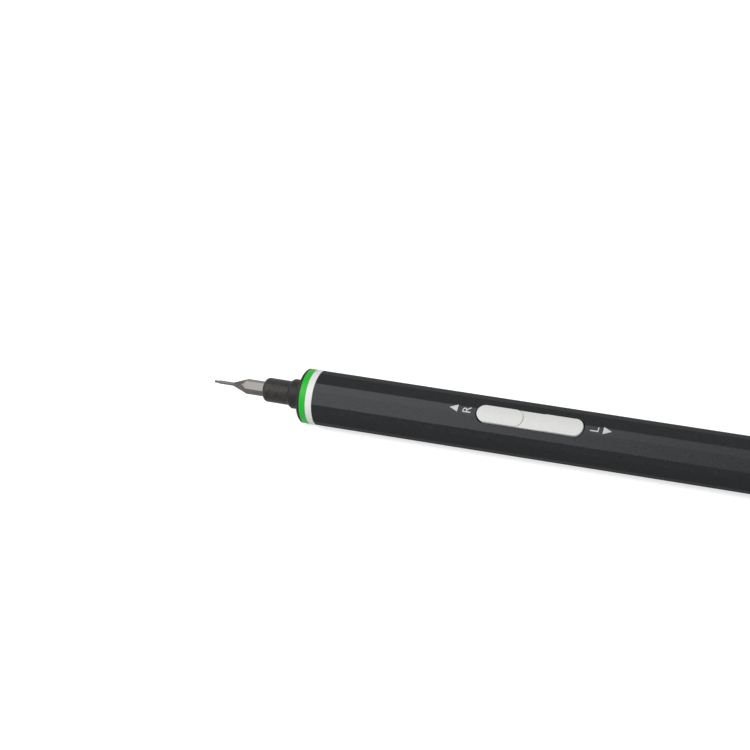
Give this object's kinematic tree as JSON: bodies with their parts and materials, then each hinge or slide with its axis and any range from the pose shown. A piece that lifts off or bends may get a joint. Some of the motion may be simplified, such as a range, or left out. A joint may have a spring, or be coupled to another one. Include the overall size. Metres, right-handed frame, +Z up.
{
  "type": "electric torque screwdriver",
  "caption": "Slim pen-shaped cordless screwdriver: faceted barrel, two colour rings, rocker for both turning directions, round chuck with a hex bit and a planetary gear motor",
  "frame": {"origin": "bottom centre of the bounding box, under mid length, on the surface that the pen lies on", "axes": "+X along the pen towards the tail, so the bit points to -X; +Z up; the rocker faces up and towards -Y"},
  "size_m": [0.1844, 0.0164, 0.0163],
  "materials": {
    "barrel_black": "satin anodised, dark grey",
    "ring_white": "satin",
    "ring_green": "satin",
    "nose_black": "fine matt",
    "chuck_black": "matt black coating",
    "bit_steel": "satin nickel",
    "steel": "machined",
    "bright_steel": "polished",
    "brass": "machined",
    "magnet": "nickel plated",
    "winding": "enamelled copper",
    "rocker_white": "smooth satin",
    "frame_plastic": "moulded",
    "board": "solder mask",
    "dark_plastic": "moulded",
    "plunger": "moulded",
    "cell_wrap": "shrink wrap",
    "nickel": "plated strip",
    "lead_black": "insulation",
    "lead_red": "insulation"
  },
  "bodies": {
    "housing": {"barrel": "barrel_black", "white_ring": "ring_white", "green_ring": "ring_green", "nose_cap": "nose_black", "tail_cap": "nose_black", "bearing_outer_race": "bright_steel", "gearbox_cover": "brass", "ring_gear": "steel", "motor_plate": "steel", "motor_screws": "bright_steel", "motor_can": "steel", "motor_magnet": "magnet", "motor_end_cap": "dark_plastic", "motor_terminals": "brass", "motor_leads": "lead_red", "rocker_pin": "steel", "inner_frame": "frame_plastic", "control_board": "board", "board_parts": "dark_plastic", "forward_switch": "dark_plastic", "reverse_switch": "dark_plastic", "battery_cell": "cell_wrap", "battery_tabs": "nickel", "battery_leads": "lead_black", "charge_leads": "lead_red", "charge_board": "board", "usb_receptacle": "nickel", "usb_tongue": "dark_plastic"},
    "rotor": {"motor_rotor": "winding", "motor_pinion": "brass"},
    "first_stage": {"first_carrier": "steel"},
    "spindle": {"output_carrier": "steel", "chuck": "chuck_black", "bit_magnet": "magnet", "retaining_clip": "steel", "bearing_inner_race": "bright_steel"},
    "ball_set": {"bearing_balls": "bright_steel"},
    "bit_body": {"bit": "bit_steel"},
    "rocker_button": {"rocker": "rocker_white"},
    "forward_key": {"forward_plunger": "plunger"},
    "reverse_key": {"reverse_plunger": "plunger"},
    "output_gear_1": {"output_planet_1": "steel"},
    "output_gear_2": {"output_planet_2": "steel"},
    "output_gear_3": {"output_planet_3": "steel"},
    "input_gear_1": {"input_planet_1": "steel"},
    "input_gear_2": {"input_planet_2": "steel"},
    "input_gear_3": {"input_planet_3": "steel"}
  },
  "joints": [
    {"name": "motor_spin", "type": "hinge", "parent": "housing", "child": "rotor", "pos_m": [0, 0, 0.00816], "axis": [1, 0, 0], "continuous": true},
    {"name": "first_stage_spin", "type": "hinge", "parent": "housing", "child": "first_stage", "pos_m": [0, 0, 0.00816], "axis": [1, 0, 0], "continuous": true},
    {"name": "chuck_spin", "type": "hinge", "parent": "housing", "child": "spindle", "pos_m": [0, 0, 0.00816], "axis": [1, 0, 0], "continuous": true},
    {"name": "ball_set_spin", "type": "hinge", "parent": "housing", "child": "ball_set", "pos_m": [0, 0, 0.00816], "axis": [1, 0, 0], "continuous": true},
    {"name": "output_planet_1_spin", "type": "hinge", "parent": "spindle", "child": "output_gear_1", "pos_m": [0, 0.003, 0.00816], "axis": [1, 0, 0], "continuous": true},
    {"name": "output_planet_2_spin", "type": "hinge", "parent": "spindle", "child": "output_gear_2", "pos_m": [0, -0.0015, 0.01076], "axis": [1, 0, 0], "continuous": true},
    {"name": "output_planet_3_spin", "type": "hinge", "parent": "spindle", "child": "output_gear_3", "pos_m": [0, -0.0015, 0.00556], "axis": [1, 0, 0], "continuous": true},
    {"name": "input_planet_1_spin", "type": "hinge", "parent": "first_stage", "child": "input_gear_1", "pos_m": [0, 0.003, 0.00816], "axis": [1, 0, 0], "continuous": true},
    {"name": "input_planet_2_spin", "type": "hinge", "parent": "first_stage", "child": "input_gear_2", "pos_m": [0, -0.0015, 0.01076], "axis": [1, 0, 0], "continuous": true},
    {"name": "input_planet_3_spin", "type": "hinge", "parent": "first_stage", "child": "input_gear_3", "pos_m": [0, -0.0015, 0.00556], "axis": [1, 0, 0], "continuous": true},
    {"name": "bit_pull", "type": "slide", "parent": "spindle", "child": "bit_body", "axis": [-1, 0, 0], "range_m": [0, 0.0125]},
    {"name": "forward_key_press", "type": "slide", "parent": "housing", "child": "forward_key", "axis": [0, 0.7071, -0.7071], "range_m": [-0.0002618, 0.0002618], "stiffness_N_per_m": 4000},
    {"name": "reverse_key_press", "type": "slide", "parent": "housing", "child": "reverse_key", "axis": [0, 0.7071, -0.7071], "range_m": [-0.0002628, 0.0002628]},
    {"name": "rocker_tilt", "type": "hinge", "parent": "housing", "child": "rocker_button", "pos_m": [0.00885, -0.00346, 0.01163], "axis": [0, 0.7071, 0.7071], "range_deg": [-1.5, 1.5]}
  ],
  "couplings": [
    {"joint": "first_stage_spin", "follows": "motor_spin", "ratio": 0.1875},
    {"joint": "chuck_spin", "follows": "motor_spin", "ratio": 0.035156},
    {"joint": "ball_set_spin", "follows": "motor_spin", "ratio": 0.014565},
    {"joint": "output_planet_1_spin", "follows": "motor_spin", "ratio": -0.091406},
    {"joint": "output_planet_2_spin", "follows": "motor_spin", "ratio": -0.091406},
    {"joint": "output_planet_3_spin", "follows": "motor_spin", "ratio": -0.091406},
    {"joint": "input_planet_1_spin", "follows": "motor_spin", "ratio": -0.4875},
    {"joint": "input_planet_2_spin", "follows": "motor_spin", "ratio": -0.4875},
    {"joint": "input_planet_3_spin", "follows": "motor_spin", "ratio": -0.4875},
    {"joint": "reverse_key_press", "follows": "forward_key_press", "ratio": -1},
    {"joint": "rocker_tilt", "follows": "forward_key_press", "rad_per_m": -100}
  ]
}
